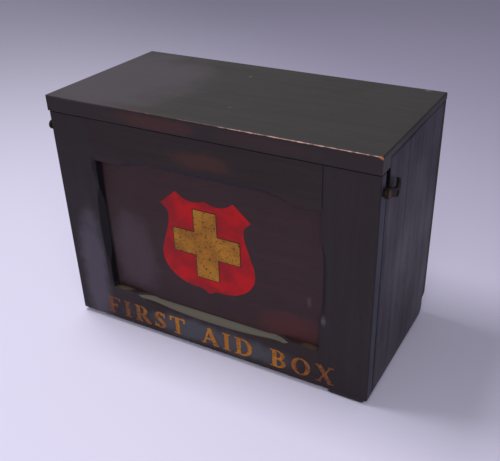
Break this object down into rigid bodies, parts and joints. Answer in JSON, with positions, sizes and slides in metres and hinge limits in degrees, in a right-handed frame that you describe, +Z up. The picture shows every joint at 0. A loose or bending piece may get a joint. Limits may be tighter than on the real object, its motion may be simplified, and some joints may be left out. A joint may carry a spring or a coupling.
{
  "type": "first aid case",
  "caption": "Small antique stained wooden case with a hinged lid and a framed front that falls forward, held shut by brass swing hooks.",
  "frame": {"origin": "centre of the outline's bottom, on the floor that the feet stand on", "axes": "+X to the case's right along its width, +Y from the front to the back, +Z up"},
  "size_m": [0.3698, 0.1818, 0.263],
  "materials": {
    "case_wood": "satin",
    "lid_wood": "satin",
    "frame_wood": "satin",
    "panel_wood": "satin",
    "back_wood": "matte",
    "bare_wood": "matte",
    "aged_brass": "satin",
    "dark_iron": "matte"
  },
  "bodies": {
    "case": {"side_left": "case_wood", "side_right": "case_wood", "bottom_board": "case_wood", "shelf": "bare_wood", "divider": "bare_wood", "back_rail": "bare_wood", "back_board_lower": "back_wood", "back_board_upper": "back_wood", "back_nails": "dark_iron", "foot_front_left": "case_wood", "foot_front_right": "case_wood", "foot_back_left": "case_wood", "foot_back_right": "case_wood", "lid_hinge_case_leaf_left": "dark_iron", "lid_hinge_case_leaf_right": "dark_iron", "lid_hinge_pins": "dark_iron", "lid_hinge_case_screws": "dark_iron", "front_hinge_case_leaf_left": "dark_iron", "front_hinge_case_leaf_right": "dark_iron", "front_hinge_pins": "dark_iron", "front_hinge_case_screws": "dark_iron", "catch_stud_left": "aged_brass", "catch_stud_right": "aged_brass"},
    "lid": {"lid_board": "lid_wood", "lid_hinge_lid_leaf_left": "dark_iron", "lid_hinge_lid_leaf_right": "dark_iron", "lid_hinge_lid_screws": "dark_iron"},
    "front": {"front_stile_left": "frame_wood", "front_stile_right": "frame_wood", "front_rail_top": "frame_wood", "front_rail_bottom": "frame_wood", "front_panel": "panel_wood", "front_pad_right": "frame_wood", "front_hinge_front_leaf_left": "dark_iron", "front_hinge_front_leaf_right": "dark_iron", "front_hinge_front_screws": "dark_iron", "hook_washer_left": "aged_brass", "hook_washer_right": "aged_brass", "hook_screw_left": "aged_brass", "hook_screw_right": "aged_brass"},
    "hook_left": {"hook_left": "aged_brass"},
    "hook_right": {"hook_right": "aged_brass"}
  },
  "joints": [
    {"name": "lid_hinge", "type": "hinge", "parent": "case", "child": "lid", "pos_m": [0, 0.0892, 0.2553], "axis": [-1, 0, 0], "range_deg": [0, 180]},
    {"name": "front_hinge", "type": "hinge", "parent": "case", "child": "front", "pos_m": [0, -0.0859, 0.0067], "axis": [1, 0, 0], "range_deg": [0, 90]},
    {"name": "hook_left_swing", "type": "hinge", "parent": "front", "child": "hook_left", "pos_m": [-0.1816, -0.0839, 0.229], "axis": [1, 0, 0], "range_deg": [0, 290]},
    {"name": "hook_right_swing", "type": "hinge", "parent": "front", "child": "hook_right", "pos_m": [0.1816, -0.0839, 0.229], "axis": [1, 0, 0], "range_deg": [0, 290]}
  ]
}
